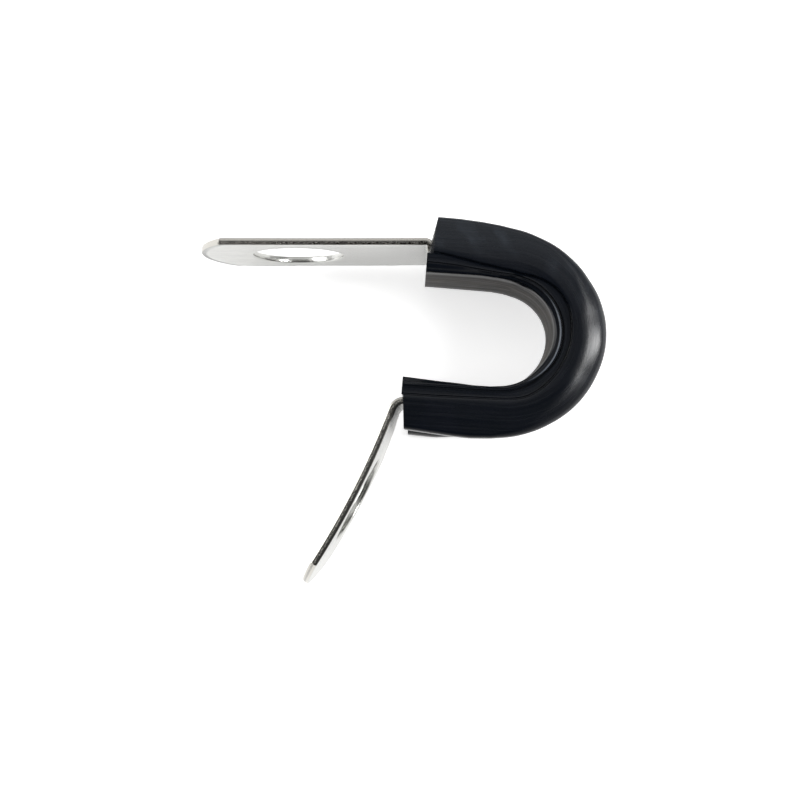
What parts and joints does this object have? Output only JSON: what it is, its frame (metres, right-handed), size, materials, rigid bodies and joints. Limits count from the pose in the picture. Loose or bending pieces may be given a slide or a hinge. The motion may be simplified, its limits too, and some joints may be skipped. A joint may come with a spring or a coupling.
{
  "type": "rubber-lined p clip",
  "caption": "Opened P clip: a bent steel strap with a screw hole in each tab and a rubber channel liner that grips a round cable or pipe.",
  "frame": {"origin": "centre of the loop that holds the cable, half way across the clip's width", "axes": "+Z along the loop's axis, which is the clip's width and points up as the clip lies on its side; -X along the upper tab, towards its tip; +Y out of the upper tab's outer face"},
  "size_m": [0.0368, 0.0329, 0.015],
  "materials": {
    "bright_steel": "cold-rolled, bright, with sheared edges",
    "black_rubber": "moulded, satin"
  },
  "bodies": {
    "root": {"steel_strap": "bright_steel", "rubber_liner": "black_rubber"}
  },
  "joints": []
}
